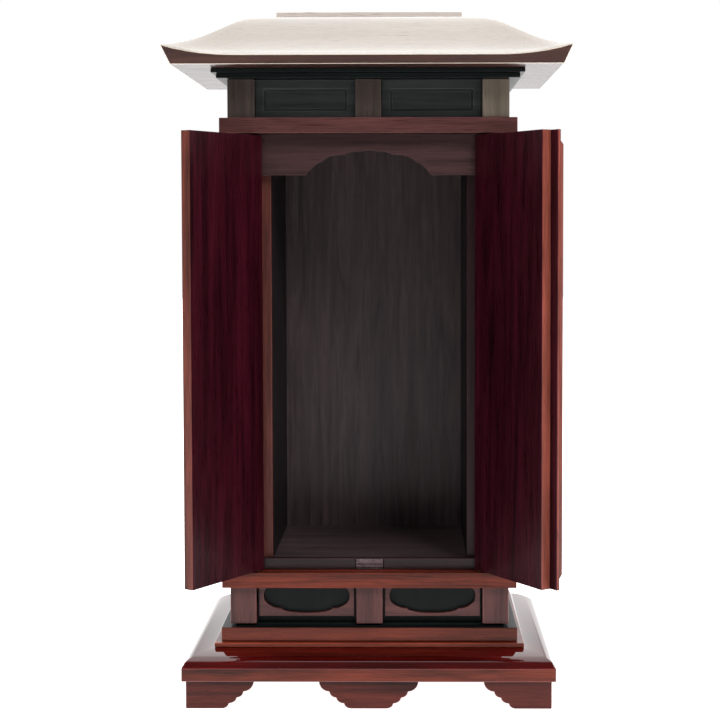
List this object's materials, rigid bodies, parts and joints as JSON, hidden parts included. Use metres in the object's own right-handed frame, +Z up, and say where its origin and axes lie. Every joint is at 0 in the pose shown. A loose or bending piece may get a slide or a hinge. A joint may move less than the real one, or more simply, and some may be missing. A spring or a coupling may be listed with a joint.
{
  "type": "household altar cabinet",
  "caption": "Small upright altar cabinet of dark wood with hipped roof, cusped doorway, pivoted doors and moulded plinth on bracket feet.",
  "frame": {"origin": "middle of the box around the cabinet with its doors open, on the level of the feet's undersides", "axes": "+Z up, -Y out of the doorway, +X to the right as seen from the front"},
  "size_m": [0.342, 0.292, 0.5985],
  "materials": {
    "rosewood": "satin rosewood stain",
    "door_rosewood": "gloss rosewood stain",
    "roof_rosewood": "satin rosewood stain",
    "inner_wood": "satin dark stain",
    "dark_panel_wood": "satin ebony stain",
    "catch_metal": "bronzed",
    "pin_metal": "dull"
  },
  "bodies": {
    "cabinet": {"base_board": "rosewood", "cabinet_floor": "inner_wood", "chamber_post_back_left": "rosewood", "chamber_post_back_right": "rosewood", "chamber_post_front_left": "rosewood", "chamber_post_front_right": "rosewood", "cornice_lower": "rosewood", "cornice_upper": "rosewood", "door_catch": "catch_metal", "door_jamb_left": "rosewood", "door_jamb_right": "rosewood", "door_sill": "rosewood", "foot_back_left": "rosewood", "foot_back_right": "rosewood", "foot_front_centre": "rosewood", "foot_front_left": "rosewood", "foot_front_right": "rosewood", "frieze_panel_back": "rosewood", "frieze_panel_front_left": "dark_panel_wood", "frieze_panel_front_right": "dark_panel_wood", "frieze_panel_left": "dark_panel_wood", "frieze_panel_right": "dark_panel_wood", "frieze_post_back_left": "rosewood", "frieze_post_back_right": "rosewood", "frieze_post_front_centre": "rosewood", "frieze_post_front_left": "rosewood", "frieze_post_front_right": "rosewood", "inner_wall_left": "inner_wood", "inner_wall_right": "inner_wood", "lower_backing_board": "inner_wood", "lower_panel_back": "rosewood", "lower_panel_left": "rosewood", "lower_panel_right": "rosewood", "lower_post_back_left": "rosewood", "lower_post_back_right": "rosewood", "lower_post_front_centre": "rosewood", "lower_post_front_left": "rosewood", "lower_post_front_right": "rosewood", "lower_rail": "rosewood", "mid_rail": "rosewood", "outer_panel_back": "inner_wood", "outer_panel_left": "rosewood", "outer_panel_right": "rosewood", "pierced_panel_left": "dark_panel_wood", "pierced_panel_right": "dark_panel_wood", "plinth_board": "rosewood", "ridge_board": "roof_rosewood", "roof": "roof_rosewood", "step_board": "rosewood", "valance": "rosewood"},
    "left_leaf": {"left_door": "door_rosewood", "left_pivot_pin_bottom": "pin_metal", "left_pivot_pin_top": "pin_metal"},
    "right_leaf": {"right_door": "door_rosewood", "astragal": "door_rosewood", "right_pivot_pin_bottom": "pin_metal", "right_pivot_pin_top": "pin_metal"}
  },
  "joints": [
    {"name": "left_door_hinge", "type": "hinge", "parent": "cabinet", "child": "left_leaf", "pos_m": [-0.096, -0.0613, 0.299], "axis": [0, 0, 1], "range_deg": [-3.4, 121.6]},
    {"name": "right_door_hinge", "type": "hinge", "parent": "cabinet", "child": "right_leaf", "pos_m": [0.096, -0.0613, 0.299], "axis": [0, 0, 1], "range_deg": [-122.2, 2.8]}
  ]
}
